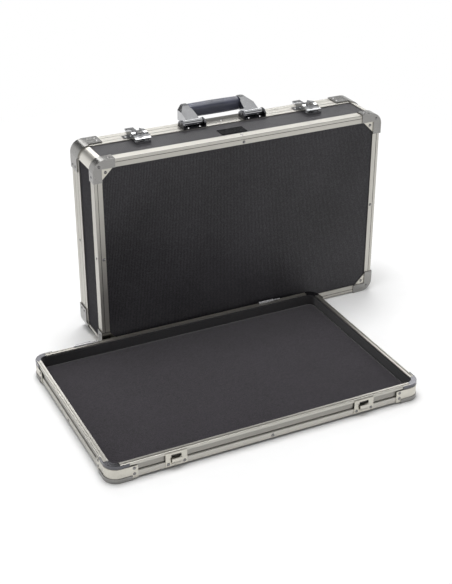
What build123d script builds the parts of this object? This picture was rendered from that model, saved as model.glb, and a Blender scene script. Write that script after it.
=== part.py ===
"""Guitar pedal case: a shallow tray for the pedals, and a deep lid that lifts off and stands behind it.

The tray lies flat. The lid stands on its hinge side with its outer panel forward and its latch side up.
Millimetres, +Z up. The origin is the centre of the whole set's footprint, at floor level.
Pieces of the lid are built lying on the outer panel with the latch side forward, then stood up.
Side sections are drawn with u inward from the outer face, and z or d away from the outer panel.
"""
from build123d import *
import math
import os

# Overall sizes
length = 551.0              # outer length of tray and lid
width = 358.0               # outer width of tray and lid
tray_height = 31.0          # floor to the tray's rim
lid_depth = 110.0           # outer panel to the lid's rim
corner_r = 20.0             # outer corner radius, seen on the large faces
corner_proud = 2.0          # how far the corner fittings stand out, and so the height of the feet
lid_shift = 130.0           # how far the standing lid is shifted along the tray
lid_gap = 8.0               # clear floor between tray and lid

# Aluminium sections
rim_width = 8.0             # tray's rim
rim_t = 2.6                 # tray rim flange
web_t = 4.8                 # tray side section, outer face to inner face
tray_flange = rim_width     # bottom flange under the base board
tray_flange_t = 1.6
band_top = 14.5             # top of the tray's lower band
groove_h = 1.5              # dark groove above the band
groove_deep = 3.2
channel_deep = 2.0          # recessed channel between groove and bead
bead_h = 5.5                # tray's top bead
band_round = 2.5            # rounding of the lower band's edges
bead_round = 1.2            # rounding of the bead's edges
tongue_groove_u = 2.4       # groove along the tray rim that takes the lid's tongue
tongue_groove_w = 2.0
tongue_groove_deep = 1.2
tongue_play = 0.2
skin_t = 1.5                # lid sections' wall
edge_face = 14.0            # lid edge section, leg on the outer panel
edge_side = 18.0            # lid edge section, leg on the side
rim_band = 37.0             # lid rim section, band on the side
rim_inner = 16.0            # lid rim section, leg inside
rim_leg_t = 1.0             # and its thickness
ridge_groove_w = 1.0        # decorative grooves along the sections
ridge_groove_deep = 0.5

# Boards and linings
base_board_t = 4.0
lid_board_t = 5.5
liner_t = 2.0               # hardboard liner behind the tray's fabric
fabric_t = 1.0
carpet_t = 2.0
carpet_play = 0.3           # between the carpet's edge and the fabric
foam_t = 15.0
board_play = 0.2

# Corner fittings, with rivets placed in from the edges of what they hold
plate_t = 1.2               # tray corner plates
plate_leg = 27.0
base_leg = 18.0
base_wrap_h = 8.0
rim_leg = 14.0
edge_plate_leg = 38.0       # lid's outer corner fittings, along each edge
edge_plate_t = 1.5
gusset_leg = 20.0
gusset_t = 1.3
far_leg = 26.0
plate_rivet_in = 6.0         # tray corner plates: from the leg's end
plate_rivet_low = 4.0        # below the top of the lower band
plate_rivet_high = 5.0       # below the bead
edge_line_u = 5.0            # fine line along the lid's edge section
face_rivet_in = 9.0          # outer corner fittings: from both sides of the lid
edge_rivet_in = 10.0         # along the face's edges
side_rivet_in = 9.0          # outer corner fittings: from where the corner starts
far_rivet_in = 7.0           # rim corner fittings: from the leg's end
far_rivet_d1 = 9.0           # and from the rim
far_rivet_d2 = 22.0
far_leg_step = 6.0           # the legs' near edge is this far behind the bend's
rim_break = 0.9              # bevel on the lid rim's outer edge
ridge_d1 = 10.4              # grooves in the lid's band, from its near edge
ridge_d2 = 24.4
rivet_r = 2.8
rivet_h = 1.1

# Slip hinges
hinge_x = 180.0             # hinge centres, either side of the middle
hinge_w = 44.0
hinge_inset = 1.2           # axis behind the outer face
knuckle_r = 3.0
pin_r = 1.5
pin_play = 0.08
tray_knuckle = 30.0
lid_knuckle = 12.0
leaf_t = 1.5
leaf_h = 21.0
notch_play = 0.6
hinge_rivet_x = 14.0         # either side of each leaf's middle

# Latches and keepers
latch_x = 166.0             # latch centres, either side of the middle
latch_half = 14.0           # half the lever's width
latch_axis_in = 18.0        # lever axis, in from the lid's rim
latch_base_l = 45.0         # front edge of the latch base, ahead of the lever axis
latch_axis_h = 6.5          # lever axis above the lid's side
latch_pin_r = 1.5
stub_in = 10.0              # inner end of the lever's stub pins, from the latch's middle
lever_t = 1.4
lever_rear = (5.0, 4.6)     # arched top, ahead of and above the lever axis: rear edge
lever_crown = (20.0, 5.8)   # highest stretch
lever_bend = (38.0, 1.6)    # where the finger lip starts
lever_tip = (44.0, 1.0)     # end of the finger lip
flange_front = 33.0         # front end of the flange's straight lower edge
window_d = 14.0             # how far the claw's window runs ahead of the lever axis
lever_lobe = 3.0            # flange round the lever's pins
claw_lobe = 2.6             # flange round the claw's pin
base_t = 1.2
base_lip_h = 3.0
ear_in = 10.6               # inner face of the base's ears, from the latch's middle
ear_t = 1.4
ear_r = 3.4
tab_w = 10.0
tab_d = 14.0
claw_half = 8.0
claw_t = 1.6
claw_back = 6.0             # claw axis ahead of the lever axis, towards the outer panel
claw_below = 2.3            # claw axis below the lever axis, so that the latch locks over centre
claw_hub = 0.6              # wall of the claw's hub round its pin
claw_dip = 0.7              # how far the strap drops between its pin and the lever axis
claw_level_d = 6.0          # where the strap turns level, behind the lever axis
claw_tip_in = 0.8           # tip narrower than the strap, each side
claw_clear = 1.5            # underside of the claw above the lid's side
claw_bite = 1.4             # how deep the claw's tip enters the keeper
claw_window = 1.2           # clearance either side of the claw in the lever's top
key_r = 4.5
key_play = 0.06
key_ahead = 26.0            # lock barrel, ahead of the lever axis
boss_r = 7.5
boss_low = 3.0              # lock boss, above the lever axis
boss_high = 6.0
key_low = 0.5               # lock barrel, above the lever axis
key_high = 6.6
keyway_w = 1.4
keyway_l = 5.2
keyway_deep = 2.5
cam_l = 9.0                 # lock cam, out from the barrel's axis
cam_w = 4.0
cam_t = 1.6
keeper_half = 18.0
keeper_top_in = 2.0         # keeper plate's top, below the tray's rim
keeper_bottom_in = 26.0     # and its bottom
keeper_t = 1.2
slot_half = 8.5
slot_top_in = 5.7           # slot's top, below the tray's rim
slot_bottom_in = 11.5       # and its bottom
slot_play = 0.3             # between the claw's tip and the slot's upper edge, shut
keeper_reach = 5.2          # how far the keeper's lip stands out
keeper_lip_l = 10.5         # below the slot, where the lip leaves the plate
keeper_belly = 4.0          # below the slot, where it stands out furthest
keeper_lip_t = 1.2
keeper_lip_in = 1.0         # how far the lip's top curls back in
keeper_rivet_in = 4.5       # from the plate's lower corners

# Handle
mount_beyond = 9.0          # mount centres, beyond the grip's ends
mount_half = 22.0
mount_len = 24.0
mount_t = 1.5
cheek_t = 3.0
cheek_h = 12.5
handle_axis_in = 25.0       # pivot, in from the lid's rim
handle_axis_h = 7.5         # pivot above the lid's side
handle_pin_r = 2.0
mount_rivet_d = 8.4         # mount rivets ahead of the pivot
handle_pin_play = 0.06
arm_knuckle_r = 5.5
arm_play = 1.0
arm_flare = 2.0             # how far the arm's inner face flares at each end
arm_bevel = 19.0            # bevel across the arm's outer corner, along the grip
arm_bevel_d = 16.0          # and towards the pivot
arm_top_w = 9.0             # bevel along the arm's outer top edge: width
arm_top_h = 6.0             # and height
arm_edge = 5.5              # bevels along the arm's back
cheek_top = 4.0             # half the flat top of each cheek
arm_beyond = 21.0           # outer face of the arms, beyond the grip's ends
arm_lap = 2.0               # how far their inner face laps the grip
grip_back = 41.0            # grip centre behind the pivot, folded flat
grip_up = 6.5               # grip centre above the pivot, folded flat
grip_r = 12.0
grip_half = 50.0            # half the grip's length
grip_round = 8.6            # rounding of the grip's edges

# Name plate, left blank
name_plate_x = -5.0
name_plate_d = 37.0
name_plate_l = 48.0
name_plate_w = 24.0
name_plate_t = 1.0

# Worked out from the above
wall_in = web_t + board_play                  # outer face to the tray's liner
tray_clear = wall_in + liner_t + fabric_t     # outer face to the tray's clear inside
floor_low = corner_proud + tray_flange_t + base_board_t   # under the carpet
lid_wall = skin_t + lid_board_t               # outer face to the inside of the lid's boards
lid_rim_w = lid_wall + rim_leg_t              # lid's rim
bead_bottom = tray_height - bead_h
latch_axis_d = lid_depth - latch_axis_in      # distances from the outer panel
latch_front = latch_axis_d - latch_base_l
key_d = latch_axis_d - key_ahead
handle_axis_d = lid_depth - handle_axis_in
handle_mount_x = grip_half + mount_beyond     # from the middle
arm_outer = grip_half + arm_beyond
arm_inner = grip_half - arm_lap
keeper_top = tray_height - keeper_top_in      # heights above the floor
keeper_bottom = tray_height - keeper_bottom_in
slot_top = tray_height - slot_top_in
slot_bottom = tray_height - slot_bottom_in
keeper_lip_low = slot_bottom - keeper_lip_l
keeper_lip_out = slot_bottom - keeper_belly
lid_top = corner_proud + width                # height of the lid's latch side
tray_front = -(width + lid_gap + handle_axis_d + grip_back + grip_r - keeper_reach) / 2
tray_x = -(lid_shift + corner_proud - plate_t) / 2
lid_x = tray_x + lid_shift
tray_place = Pos(tray_x, tray_front + width / 2, 0)
lid_front = tray_front + width + lid_gap
lid_place = Pos(lid_x, lid_front, corner_proud + width / 2) * Rot(-90, 0, 0)
latch_side = Pos(lid_x, lid_front, lid_top)   # frame of the latch side: x, d, height above it
sides = ("front", "right", "back", "left")


def block(x0, x1, y0, y1, z0, z1):
    """A box from its lowest and highest corners."""
    return Pos((x0 + x1) / 2, (y0 + y1) / 2, (z0 + z1) / 2) * Box(x1 - x0, y1 - y0, z1 - z0)


def rod_x(x0, x1, y, z, radius):
    """A round bar along X."""
    return Pos((x0 + x1) / 2, y, z) * Rot(0, 90, 0) * Cylinder(radius, x1 - x0)


def slab_x(points, x0, x1):
    """A polygon of (y, z) points, extruded along X."""
    face = make_face(Polyline(*[(y, z) for y, z in points], close=True))
    frame = Plane(origin=(x0, 0, 0), x_dir=(0, 1, 0), z_dir=(1, 0, 0))
    return extrude(frame * face, x1 - x0)


def slab_y(points, y0, y1):
    """A polygon of (x, z) points, extruded along Y."""
    face = make_face(Polyline(*[(x, z) for x, z in points], close=True))
    frame = Plane(origin=(0, y0, 0), x_dir=(1, 0, 0), z_dir=(0, -1, 0))
    return extrude(frame * face, y0 - y1)


def section_x(edges, x0, x1):
    """A closed outline of edges in (y, z), extruded along X."""
    frame = Plane(origin=(x0, 0, 0), x_dir=(0, 1, 0), z_dir=(1, 0, 0))
    return extrude(frame * make_face(Curve() + edges), x1 - x0)


def slab_z(points, z0, z1):
    """A polygon of (x, y) points, extruded along Z."""
    return Pos(0, 0, z0) * extrude(make_face(Polyline(*points, close=True)), z1 - z0)


def rounded(inset, z0, z1):
    """The footprint, taken in by inset, with its corners rounded to match, as a slab."""
    outline = RectangleRounded(length - 2 * inset, width - 2 * inset, corner_r - inset)
    return Pos(0, 0, z0) * extrude(outline, z1 - z0)


def side_length(side):
    return length if side in ("front", "back") else width


def on_side(side, piece):
    """Moves a piece made with its outer face on y = 0, inward along +y, to one of the four sides."""
    turn = sides.index(side) * 90
    reach = width / 2 if side in ("front", "back") else length / 2
    return Rot(0, 0, turn) * Pos(0, -reach, 0) * piece


def side_bar(side, face):
    """A section drawn in (u, z), run along a side between its rounded corners."""
    run = side_length(side) - 2 * corner_r
    frame = Plane(origin=(-run / 2, 0, 0), x_dir=(0, 1, 0), z_dir=(1, 0, 0))
    return on_side(side, extrude(frame * face, run))


def at_corners(make, left_right=(-1, 1), front_back=(-1, 1)):
    """The piece that make() gives for the right back corner, turned to each corner, as separate solids."""
    found = []
    for sx in left_right:
        for sy in front_back:
            mirrored = make()
            if sx < 0:
                mirrored = mirror(mirrored, Plane.YZ)
            if sy < 0:
                mirrored = mirror(mirrored, Plane.XZ)
            found.append(mirrored)
    return found


def corner_ring(r_in, r_out, z0, z1):
    """A quarter ring about the right back corner's centre."""
    centre = Pos(length / 2 - corner_r, width / 2 - corner_r, (z0 + z1) / 2)
    ring = Cylinder(r_out, z1 - z0) - Cylinder(r_in, z1 - z0)
    quarter = Pos(r_out / 2, r_out / 2, 0) * Box(r_out, r_out, z1 - z0)
    return centre * (ring & quarter)


def corner_legs(u0, u1, leg, z0, z1):
    """Two straight legs that carry a right back corner piece on along its sides."""
    x1, y1 = length / 2 - corner_r, width / 2 - corner_r
    along_back = block(x1 - leg, x1, width / 2 - u1, width / 2 - u0, z0, z1)
    along_right = block(length / 2 - u1, length / 2 - u0, y1 - leg, y1, z0, z1)
    return along_back + along_right


def rivet():
    """A domed rivet head that sits on z = 0."""
    dome_r = (rivet_r ** 2 + rivet_h ** 2) / (2 * rivet_h)
    dome = Pos(0, 0, rivet_h - dome_r) * Sphere(dome_r)
    return dome & block(-rivet_r, rivet_r, -rivet_r, rivet_r, 0, rivet_h)


def side_rivet(side, along, z, proud=0.0):
    """A rivet head on a side's outer face, at a place along it, on something that stands proud."""
    return on_side(side, Pos(along, -proud, z) * Rot(90, 0, 0) * rivet())


def hinge_notch(z_low, z_high):
    """What is cut from a rim along one side for the hinge knuckles, before it is put on the back."""
    cuts = []
    for centre in (-hinge_x, hinge_x):
        low = centre - hinge_w / 2 - notch_play
        cuts.append(block(low, low + hinge_w + 2 * notch_play, -1, hinge_inset + knuckle_r + notch_play,
                          z_low, z_high))
    return cuts


# ---- Tray -----------------------------------------------------------------------------------------

def round_corner(u, z, into_z, radius):
    """The arc that rounds an outer corner at (u, z), from the face on z round to the outer face."""
    middle = radius * (1 - math.sqrt(0.5))
    return ThreePointArc((u + radius, z), (u + middle, z + into_z * middle), (u, z + into_z * radius))


def tray_section():
    """The tray's side section: rounded lower band, dark groove, recessed channel, bead and grooved rim."""
    low, top = corner_proud, tray_height
    groove_top = band_top + groove_h
    tongue_end = tongue_groove_u + tongue_groove_w
    band_face = Line((0, low + band_round), (0, band_top - band_round))
    bead_face = Line((0, bead_bottom + bead_round), (0, top - bead_round))
    channel = Polyline((band_round, band_top), (groove_deep, band_top), (groove_deep, groove_top),
                       (channel_deep, groove_top), (channel_deep, bead_bottom), (bead_round, bead_bottom))
    rim = Polyline((bead_round, top), (tongue_groove_u, top), (tongue_groove_u, top - tongue_groove_deep),
                   (tongue_end, top - tongue_groove_deep), (tongue_end, top), (rim_width, top),
                   (rim_width, top - rim_t), (web_t, top - rim_t), (web_t, low + tray_flange_t),
                   (tray_flange, low + tray_flange_t), (tray_flange, low), (band_round, low))
    rounds = [round_corner(0, low, 1, band_round), round_corner(0, band_top, -1, band_round),
              round_corner(0, bead_bottom, 1, bead_round), round_corner(0, top, -1, bead_round)]
    return make_face(Curve() + rounds + [band_face, bead_face, channel, rim])


def tray_rail(side):
    rail = side_bar(side, tray_section())
    if side == "back":
        for cut in hinge_notch(tray_height - knuckle_r - notch_play, tray_height + 1):
            rail = rail - on_side("back", cut)
    return tray_place * rail


def tray_base_board():
    return tray_place * rounded(wall_in, floor_low - base_board_t, floor_low)


def tray_carpet():
    return tray_place * rounded(tray_clear + carpet_play, floor_low, floor_low + carpet_t)


def tray_ring(inset, thick):
    """A band of liner or fabric round the inside of the tray's wall, on the base board."""
    low, high = floor_low, tray_height - rim_t
    return tray_place * (rounded(inset, low, high) - rounded(inset + thick, low, high))


def tray_corner_posts():
    low, high = corner_proud, bead_bottom
    return [tray_place * p for p in at_corners(
        lambda: corner_ring(corner_r - web_t, corner_r, low, high))]


def tray_corner_plates():
    """Bright plates round the corners, with two legs each."""
    low, high = corner_proud + 1.0, bead_bottom - 1.0

    def make():
        shell = corner_ring(corner_r, corner_r + plate_t, low, high)
        return shell + corner_legs(-plate_t, 0, plate_leg, low, high)
    return [tray_place * p for p in at_corners(make)]


def tray_base_corners():
    """Feet: a plate under each corner that wraps up over the corner plate."""
    x1, y1 = length / 2 - corner_r, width / 2 - corner_r

    def make():
        reach = corner_r + corner_proud
        wrap = corner_ring(corner_r + plate_t, reach, 0, base_wrap_h)
        wrap = wrap + corner_legs(-corner_proud, -plate_t, base_leg, 0, base_wrap_h)
        outer = Pos(x1, y1, corner_proud / 2) * Cylinder(reach, corner_proud)
        foot = outer & block(x1, x1 + reach, y1, y1 + reach, 0, corner_proud)
        foot = foot + block(x1 - base_leg, x1, y1, y1 + reach, 0, corner_proud)
        foot = foot + block(x1, x1 + reach, y1 - base_leg, y1, 0, corner_proud)
        return wrap + foot
    return [tray_place * p for p in at_corners(make)]


def tray_rim_corners():
    """Chrome caps that carry the rim round each corner."""
    low, top = bead_bottom, tray_height

    def make():
        cap = corner_ring(corner_r - rim_width, corner_r + plate_t, top - rim_t, top)
        skirt = corner_ring(corner_r, corner_r + plate_t, low, top)
        post_top = corner_ring(corner_r - web_t, corner_r, low, top)
        return cap + skirt + post_top + corner_legs(-plate_t, 0, rim_leg, low, top)
    return [tray_place * p for p in at_corners(make)]


def tray_rivets():
    """Rivets in the corner plates, and one or two along each rail."""
    found = []
    for side in sides:
        run = side_length(side) / 2 - corner_r
        for sign in (-1, 1):
            along = sign * (run - plate_leg + plate_rivet_in)
            for z in (band_top - plate_rivet_low, bead_bottom - plate_rivet_high):
                found.append(side_rivet(side, along, z, plate_t))
        found.append(side_rivet(side, 0, (corner_proud + band_top) / 2))
    return [tray_place * r for r in found]


def keeper_lip():
    """Outline, in (y, z), of the curled lip below the keeper's slot."""
    root, tip = -keeper_t, -keeper_reach + keeper_lip_in
    out = ThreePointArc((root, keeper_lip_low), (-keeper_reach, keeper_lip_out), (tip, slot_bottom))
    back = ThreePointArc((root, keeper_lip_low + 2 * keeper_lip_t),
                         (keeper_lip_t - keeper_reach, keeper_lip_out), (tip + keeper_lip_t, slot_bottom))
    return [out, back, Line(out @ 0, back @ 0), Line(out @ 1, back @ 1)]


def keeper(sign):
    """A keeper on the tray's front: a plate with a slot for the claw and a curled lip below it."""
    plate = block(-keeper_half, keeper_half, -keeper_t, 0, keeper_bottom, keeper_top)
    plate = plate - block(-slot_half, slot_half, -keeper_t - 1, 1, slot_bottom, slot_top)
    plate = plate + section_x(keeper_lip(), -slot_half, slot_half)
    return tray_place * on_side("front", Pos(sign * latch_x, 0, 0) * plate)


def keeper_rivets():
    found = []
    for sign in (-1, 1):
        for step in (-1, 1):
            x = sign * latch_x + step * (keeper_half - keeper_rivet_in)
            found.append(tray_place * side_rivet("front", x, keeper_bottom + keeper_rivet_in, keeper_t))
    return found


def hinge_span(sign):
    """Where one hinge's tray knuckle starts and ends along the tray."""
    low = sign * hinge_x - hinge_w / 2
    return low, low + tray_knuckle


def tray_hinge_leaves():
    """Two leaves on the tray's back, each rolled into a knuckle at rim level."""
    found = []
    y, z = width / 2 - hinge_inset, tray_height
    for sign in (-1, 1):
        low, high = hinge_span(sign)
        leaf = block(low, low + hinge_w, width / 2, width / 2 + leaf_t, z - leaf_h, z - knuckle_r)
        neck = block(low, high, width / 2, width / 2 + leaf_t, z - knuckle_r, z)
        roll = rod_x(low, high, y, z, knuckle_r)
        bore = rod_x(low - 1, high + 1, y, z, pin_r)
        found.append(tray_place * (leaf + neck + roll - bore))
    return found


def tray_hinge_pins():
    """The pins the lid slips onto, held in the tray's knuckles and bare at their right ends."""
    found = []
    for sign in (-1, 1):
        low = hinge_span(sign)[0]
        pin = rod_x(low, low + hinge_w, width / 2 - hinge_inset, tray_height, pin_r)
        found.append(tray_place * pin)
    return found


def tray_hinge_rivets():
    found = []
    for sign in (-1, 1):
        middle = hinge_span(sign)[0] + hinge_w / 2
        for step in (-hinge_rivet_x, hinge_rivet_x):
            along, z = -(middle + step), tray_height - knuckle_r - leaf_h / 2 + rivet_r
            found.append(tray_place * side_rivet("back", along, z, leaf_t))
    return found


# ---- Lid, built lying on its outer panel, latch side to the front -----------------------------------

def edge_section():
    """The lid's outer edge section, an L with a fine line along its face."""
    s, deep = skin_t, ridge_groove_deep
    line_u, line_end = edge_line_u, edge_line_u + ridge_groove_w
    points = [(0.5, 0), (line_u, 0), (line_u, deep), (line_end, deep), (line_end, 0), (edge_face, 0),
              (edge_face, s), (s, s), (s, edge_side), (0, edge_side), (0, 0.5)]
    return make_face(Polyline(*points, close=True))


def rim_section():
    """The lid's rim section: a ribbed band outside, the rim with its tongue, and a leg inside."""
    s, top, low = skin_t, lid_depth, lid_depth - rim_band
    g, deep = ridge_groove_w, ridge_groove_deep
    points = [(0, low)]
    for d in (low + ridge_d1, low + ridge_d2):
        points += [(0, d), (deep, d), (deep, d + g), (0, d + g)]
    tongue_low = tongue_groove_u + tongue_play
    tongue_high = tongue_groove_u + tongue_groove_w - tongue_play
    tongue_top = top + tongue_groove_deep - tongue_play
    points += [(0, top - rim_break), (rim_break, top), (tongue_low, top), (tongue_low, tongue_top),
               (tongue_high, tongue_top), (tongue_high, top), (lid_rim_w, top),
               (lid_rim_w, top - rim_inner), (lid_wall, top - rim_inner),
               (lid_wall, top - s), (s, top - s), (s, low)]
    return make_face(Polyline(*points, close=True))


def lid_edge_rail(side):
    return lid_place * side_bar(side, edge_section())


def notched(side, bar):
    """The bar, with room cut for the hinge knuckles if it is on the hinge side."""
    if side == "back":
        for cut in hinge_notch(lid_depth - knuckle_r - notch_play, lid_depth + 2):
            bar = bar - on_side("back", mirror(cut, Plane.YZ))
    return bar


def lid_rim_rail(side):
    return lid_place * notched(side, side_bar(side, rim_section()))


def lid_panel():
    return lid_place * rounded(skin_t, skin_t, lid_wall)


def lid_side_board(side):
    low, high = lid_wall, lid_depth - skin_t
    board = make_face(Polyline((skin_t, low), (lid_wall, low), (lid_wall, high), (skin_t, high), close=True))
    return lid_place * notched(side, side_bar(side, board))


def lid_corner_posts():
    return [lid_place * p for p in at_corners(
        lambda: corner_ring(corner_r - lid_wall, corner_r, lid_wall, lid_depth - skin_t))]


def lid_wall_lining():
    low, high = lid_wall, lid_depth - rim_inner - board_play
    return lid_place * (rounded(lid_wall, low, high) - rounded(lid_wall + fabric_t, low, high))


def lid_foam():
    return lid_place * rounded(lid_wall + fabric_t + board_play, lid_wall, lid_wall + foam_t)


def lid_edge_corners():
    """The outer panel's corner fittings: a raised L on the face, wrapped round onto the sides."""
    x1, y1 = length / 2 - corner_r, width / 2 - corner_r
    reach = corner_r + corner_proud
    leg = edge_plate_leg - corner_r

    def make():
        disc = Pos(x1, y1, -edge_plate_t / 2) * Cylinder(reach, edge_plate_t)
        face = disc & block(x1, x1 + reach, y1, y1 + reach, -edge_plate_t, 0)
        face = face + block(x1 - leg, x1, y1, y1 + reach, -edge_plate_t, 0)
        face = face + block(x1, x1 + reach, y1 - leg, y1, -edge_plate_t, 0)
        inside = block(x1 - leg, length / 2 - edge_face, y1 - leg, width / 2 - edge_face, -edge_plate_t, 0)
        wrap = corner_ring(corner_r, reach, 0, edge_side)
        return (face - inside) + wrap + corner_legs(-corner_proud, 0, leg, 0, edge_side)
    return [lid_place * p for p in at_corners(make)]


def lid_gussets():
    """Small triangles on the outer panel, inside each corner fitting."""
    x, y = length / 2 - edge_face, width / 2 - edge_face

    def make():
        points = [(x, y), (x - gusset_leg, y), (x, y - gusset_leg)]
        return slab_z(points, skin_t - gusset_t, skin_t)
    return [lid_place * p for p in at_corners(make)]


def lid_rim_corners():
    """The rim's corner fittings: chrome, wrapped over the band and the rim."""
    low, top = lid_depth - rim_band, lid_depth

    def make():
        wrap = corner_ring(corner_r, corner_r + corner_proud, low, top)
        cap = corner_ring(corner_r - lid_rim_w, corner_r, top - skin_t, top)
        return wrap + cap + corner_legs(-corner_proud, 0, far_leg, low + far_leg_step, top)
    return [lid_place * p for p in at_corners(make)]


def face_rivet(x, y, d):
    """A rivet head on the outer panel's side, pointing forward when the lid stands."""
    return Pos(x, y, d) * Rot(180, 0, 0) * rivet()


def lid_face_rivets():
    """Rivets on the face: one in each corner fitting, one in each gusset and one along each edge."""
    found = []
    x, y = length / 2, width / 2
    for sx in (-1, 1):
        for sy in (-1, 1):
            found.append(face_rivet(sx * (x - face_rivet_in), sy * (y - face_rivet_in), -edge_plate_t))
            inner = edge_face + gusset_leg / 3
            found.append(face_rivet(sx * (x - inner), sy * (y - inner), skin_t - gusset_t))
    for sign in (-1, 1):
        found.append(face_rivet(0, sign * (y - edge_rivet_in), 0))
        found.append(face_rivet(sign * (x - edge_rivet_in), 0, 0))
    return [lid_place * r for r in found]


def lid_side_rivets():
    """Rivets on the lid's sides. None stands under the corner fittings that the lid rests on."""
    found = []
    for side in sides:
        run = side_length(side) / 2 - corner_r
        found.append(side_rivet(side, 0, edge_side / 2))
        found.append(side_rivet(side, 0, lid_depth - rim_band / 2))
        if side == "back":
            continue
        for sign in (-1, 1):
            found.append(side_rivet(side, sign * (run - side_rivet_in), edge_side / 2, corner_proud))
            for in_d in (far_rivet_d1, far_rivet_d2):
                along = sign * (run - far_leg + far_rivet_in)
                found.append(side_rivet(side, along, lid_depth - in_d, corner_proud))
    return [lid_place * r for r in found]


def lid_hinge_leaves():
    """Two leaves under the hinge side, each rolled into a knuckle that slips onto a tray pin."""
    found = []
    y, z = width / 2 - hinge_inset, lid_depth
    gap = (hinge_w - tray_knuckle - lid_knuckle) / 2
    for sign in (-1, 1):
        low = -(hinge_span(sign)[1] + gap + lid_knuckle)
        outer = -(hinge_span(sign)[0] + hinge_w)
        leaf = block(outer, outer + hinge_w, width / 2, width / 2 + leaf_t, z - leaf_h, z - knuckle_r)
        neck = block(low, low + lid_knuckle, width / 2, width / 2 + leaf_t, z - knuckle_r, z)
        roll = rod_x(low, low + lid_knuckle, y, z, knuckle_r)
        bore = rod_x(low - 1, low + lid_knuckle + 1, y, z, pin_r + pin_play)
        found.append(lid_place * (leaf + neck + roll - bore))
    return found


def name_plate():
    """The blank plate on the latch side."""
    low, high = -skin_t, name_plate_t - skin_t
    x, d = name_plate_x, name_plate_d
    return latch_side * block(x - name_plate_l / 2, x + name_plate_l / 2, d - name_plate_w / 2,
                              d + name_plate_w / 2, low, high)


# ---- Latches, in the latch side's frame: x, d, height ------------------------------------------------

def latch_frame(sign):
    return latch_side * Pos(sign * latch_x, 0, 0)


def latch_base(sign):
    """The latch's base: a plate that steps off the band, two ears for the pins and two side tabs."""
    half = latch_half - 1.0
    band_low = lid_depth - rim_band
    back = latch_axis_d + ear_r
    plate = block(-half, half, latch_front, back, 0, base_t)
    plate = plate + block(-half, half, latch_front, band_low - board_play, -skin_t, 0)
    plate = plate + block(-half, half, latch_front, latch_front + base_t, 0, base_lip_h)
    tabs = block(-latch_half - tab_w, latch_half + tab_w, latch_axis_d - tab_d, latch_axis_d, 0, base_t)
    base = plate + tabs
    for x0 in (-ear_in - ear_t, ear_in):
        ear = rod_x(x0, x0 + ear_t, latch_axis_d, latch_axis_h, ear_r)
        foot = block(x0, x0 + ear_t, latch_axis_d - ear_r, latch_axis_d + ear_r, 0, latch_axis_h)
        base = base + ear + foot
    bore = rod_x(-latch_half, latch_half, latch_axis_d, latch_axis_h, latch_pin_r)
    return latch_frame(sign) * (base - bore)


def latch_pins():
    """The levers' stub pins, two to a latch, fixed in the ears so that the claw passes between them."""
    found = []
    for sign in (-1, 1):
        for x0 in (-latch_half, stub_in):
            pin = rod_x(x0, x0 + latch_half - stub_in, latch_axis_d, latch_axis_h, latch_pin_r)
            found.append(latch_frame(sign) * pin)
    return found


def lever_arch(drop):
    """The line of the lever's arched top, from its rear edge to its finger lip, lowered by drop."""
    points = (lever_rear, lever_crown, lever_bend, lever_tip)
    rear, crown, bend, tip = [(latch_axis_d - back, latch_axis_h + up - drop) for back, up in points]
    return ThreePointArc(rear, crown, bend), Line(bend, tip)


def lever_plate():
    """The lever's arched top plate."""
    arch, lip = lever_arch(0)
    low_arch, low_lip = lever_arch(lever_t)
    ends = [Line(arch @ 0, low_arch @ 0), Line(lip @ 1, low_lip @ 1)]
    return section_x([arch, lip, low_arch, low_lip] + ends, -latch_half, latch_half)


def lever_flange(x0):
    """One of the lever's side flanges, with lobes round the lever's pin and the claw's pin."""
    d, h = latch_axis_d, latch_axis_h
    arch = lever_arch(0)[0]
    low = h - claw_below - claw_lobe
    under = Polyline(arch @ 1, (d - flange_front, low), (d - claw_back, low), (d, h - lever_lobe),
                     (d, h + lever_lobe), arch @ 0)
    flange = section_x([arch, under], x0, x0 + lever_t)
    flange = flange + rod_x(x0, x0 + lever_t, d, h, lever_lobe)
    return flange + rod_x(x0, x0 + lever_t, d - claw_back, h - claw_below, claw_lobe)


def latch_lever(sign):
    """An arched lever with side flanges, a boss for the lock and a window that the claw swings through."""
    d, h = latch_axis_d, latch_axis_h
    lever = lever_plate()
    window = claw_half + claw_window
    lever = lever - block(-window, window, d - window_d, d, h, h + 2 * boss_high)
    for x0 in (-latch_half, latch_half - lever_t):
        lever = lever + lever_flange(x0)
    lever = lever + Pos(0, key_d, h + (boss_low + boss_high) / 2) * Cylinder(boss_r, boss_high - boss_low)
    lever = lever - Pos(0, key_d, h) * Cylinder(key_r + key_play, 4 * boss_high)
    bore_r = latch_pin_r + key_play
    lever = lever - rod_x(-latch_half - 1, latch_half + 1, d, h, bore_r)
    lever = lever - rod_x(-latch_half - 1, latch_half + 1, d - claw_back, h - claw_below, bore_r)
    return latch_frame(sign) * lever


def latch_key(sign):
    """The lock's barrel, with its keyway above and its cam below the lever's top."""
    low, high = latch_axis_h + key_low, latch_axis_h + key_high
    barrel = Pos(0, key_d, (low + high) / 2) * Cylinder(key_r, high - low)
    keyway = block(-keyway_w / 2, keyway_w / 2, key_d - keyway_l / 2, key_d + keyway_l / 2,
                   high - keyway_deep, high + 1)
    cam = block(0, cam_l, key_d - cam_w / 2, key_d + cam_w / 2, low - cam_t, low)
    return latch_frame(sign) * (barrel + cam - keyway)


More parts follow.
